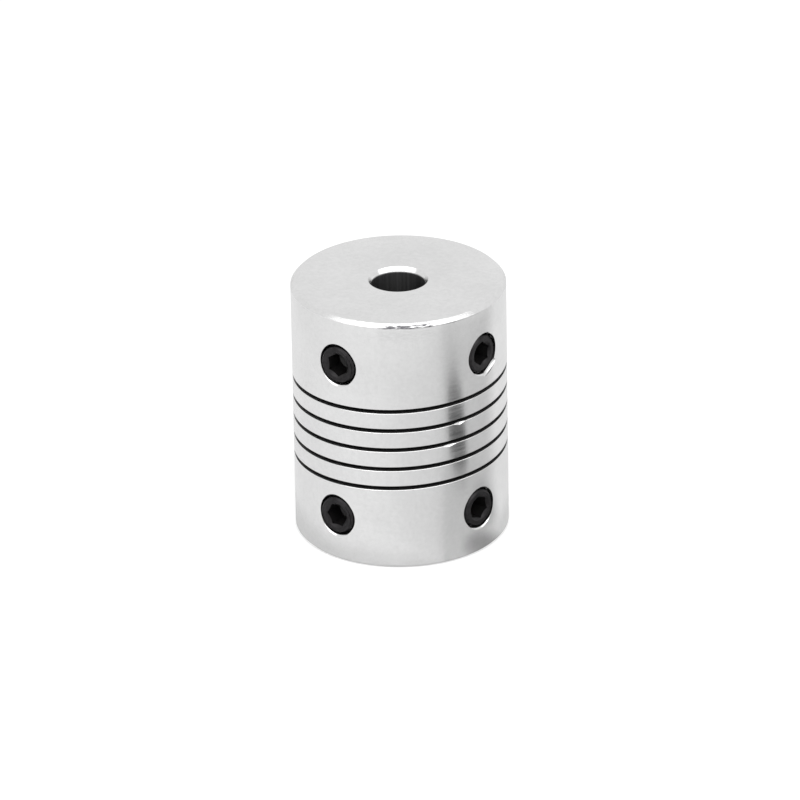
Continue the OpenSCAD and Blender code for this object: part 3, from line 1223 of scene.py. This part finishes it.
corner_r = add(screw_tree, "ShaderNodeMath", {"operation": "DIVIDE"}, {
    0: size["Socket width"],
    1: 2 * math.cos(math.radians(30)),
})
half_socket = add(screw_tree, "ShaderNodeMath", {"operation": "MULTIPLY"}, {0: size["Socket depth"], 1: 0.5})
socket_middle = add(screw_tree, "ShaderNodeMath", {"operation": "SUBTRACT"}, {
    0: half_screw,
    1: half_socket,
})
socket_z = add(screw_tree, "ShaderNodeMath", {"operation": "ADD"}, {0: socket_middle, 1: OVERCUT / 2})
hexagon = add(screw_tree, "GeometryNodeMeshCylinder", {}, {
    "Vertices": 6,
    "Radius": corner_r,
    "Depth": add(screw_tree, "ShaderNodeMath", {"operation": "ADD"}, {0: size["Socket depth"], 1: OVERCUT}),
})
hexagon_place = add(screw_tree, "GeometryNodeTransform", {}, {
    "Geometry": hexagon,
    "Translation": add(screw_tree, "ShaderNodeCombineXYZ", {}, {"Z": socket_z}),
    "Rotation": add(screw_tree, "ShaderNodeCombineXYZ", {}, {"Z": size["Socket turn"]}),
})
half_across = add(screw_tree, "ShaderNodeMath", {"operation": "MULTIPLY"}, {0: size["Socket width"], 1: 0.5})
drill_r = add(screw_tree, "ShaderNodeMath", {"operation": "SUBTRACT"}, {0: half_across, 1: DRILL_CLEARANCE})
drill_depth = add(screw_tree, "ShaderNodeMath", {"operation": "DIVIDE"}, {0: drill_r, 1: DRILL_SLOPE})
drill_point = add(screw_tree, "GeometryNodeMeshCone", {}, {
    "Vertices": 48,
    "Radius Top": drill_r,
    "Radius Bottom": 0.0,
    "Depth": drill_depth,
})
socket_floor = add(screw_tree, "ShaderNodeMath", {"operation": "SUBTRACT"}, {
    0: half_screw,
    1: size["Socket depth"],
})
drill_base = add(screw_tree, "ShaderNodeMath", {"operation": "SUBTRACT"}, {0: socket_floor, 1: drill_depth})
print(f"Socket: {SCREW_SIZES['Socket width']:.1f} mm across its flats")

# %% [markdown]
# A cone at the socket's mouth, which falls away from the face at 35 degrees, guides the key in. The
# other end is hollowed into a cup, whose sharp rim bites the shaft. The drill point, the mouth and
# the cup are all cones on the screw's axis, so one loop moves each to its base. Then all four
# shapes are cut from the threaded rod at once.

# %% Open the mouth and cup the point
MOUTH_SLOPE = math.tan(math.radians(35))

mouth_edge = add(screw_tree, "ShaderNodeMath", {"operation": "ADD"}, {0: corner_r, 1: size["Socket bevel"]})
mouth_reach = add(screw_tree, "ShaderNodeMath", {"operation": "ADD"}, {0: mouth_edge, 1: OVERCUT})
mouth = add(screw_tree, "GeometryNodeMeshCone", {}, {
    "Vertices": 96,
    "Radius Top": mouth_reach,
    "Radius Bottom": 0.0,
    "Depth": add(screw_tree, "ShaderNodeMath", {"operation": "MULTIPLY"}, {0: mouth_reach, 1: MOUTH_SLOPE}),
})
mouth_depth = add(screw_tree, "ShaderNodeMath", {"operation": "MULTIPLY"}, {0: mouth_edge, 1: MOUTH_SLOPE})
mouth_base = add(screw_tree, "ShaderNodeMath", {"operation": "SUBTRACT"}, {0: half_screw, 1: mouth_depth})
cup = add(screw_tree, "GeometryNodeMeshCone", {}, {
    "Vertices": 48,
    "Radius Top": 0.0,
    "Radius Bottom": size["Cup radius"],
    "Depth": size["Cup depth"],
})
cup_base = add(screw_tree, "ShaderNodeMath", {"operation": "MULTIPLY"}, {0: size["Length"], 1: -0.5})

screw_cutters = [hexagon_place]
for tool, base in ((drill_point, drill_base), (mouth, mouth_base), (cup, cup_base)):
    screw_cutters.append(add(screw_tree, "GeometryNodeTransform", {}, {
        "Geometry": tool,
        "Translation": add(screw_tree, "ShaderNodeCombineXYZ", {}, {"Z": base}),
    }))
socketed = add(screw_tree, "GeometryNodeMeshBoolean", {"operation": "DIFFERENCE", "solver": "MANIFOLD"}, {
    "Mesh 1": threaded,
})
for cutter in screw_cutters:
    screw_tree.links.new(cutter.outputs[0], socketed.inputs["Mesh 2"])
print("Cutters in a screw:", len(screw_cutters))

# %% [markdown]
# The tree ends by turning the finished screw to face outwards and pushing it in. Its coordinates are
# stored before it is moved, because its marks run round its own axis.

# %% Place a screw in its hole
centre_distance = add(screw_tree, "ShaderNodeMath", {"operation": "SUBTRACT"}, {
    0: size["Face distance"],
    1: half_screw,
})
facing_x = add(screw_tree, "ShaderNodeMath", {"operation": "COSINE"}, {0: size["Angle"]})
facing_y = add(screw_tree, "ShaderNodeMath", {"operation": "SINE"}, {0: size["Angle"]})
centre = add(screw_tree, "ShaderNodeCombineXYZ", {}, {
    "X": add(screw_tree, "ShaderNodeMath", {"operation": "MULTIPLY"}, {0: centre_distance, 1: facing_x}),
    "Y": add(screw_tree, "ShaderNodeMath", {"operation": "MULTIPLY"}, {0: centre_distance, 1: facing_y}),
    "Z": size["Height"],
})
marked = add(screw_tree, "GeometryNodeStoreNamedAttribute", {"data_type": "FLOAT_VECTOR"}, {
    "Geometry": socketed,
    "Name": SCREW_PLACE,
    "Value": add(screw_tree, "GeometryNodeInputPosition"),
})
driven = add(screw_tree, "GeometryNodeTransform", {}, {
    "Geometry": marked,
    "Translation": centre,
    "Rotation": add(screw_tree, "ShaderNodeCombineXYZ", {}, {"Y": math.radians(90), "Z": size["Angle"]}),
})
finish_shape(screw_tree, driven, black_steel)
print("Nodes in the screw's tree:", len(screw_tree.nodes))

# %% [markdown]
# So one tree makes four screws, each with its own angle, height, depth and turn of the key. Each
# screw rides on its own body and slides along its hole.

# %% Drive each screw in
for name, (screw_angle, screw_height, face) in PLACES.items():
    own_sizes = dict(SCREW_SIZES)
    own_sizes["Angle"] = screw_angle
    own_sizes["Height"] = screw_height
    own_sizes["Face distance"] = face
    own_sizes["Socket turn"] = math.radians(SCREW_TURNS[name])
    start_mesh = bpy.data.meshes.new(f"{name}_start")
    screw = make_piece(f"{name}_set_screw_threaded", screw_tree, own_sizes, start_mesh)
    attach(screw, f"{name}_screw")
    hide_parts(f"set_screw_{name}")
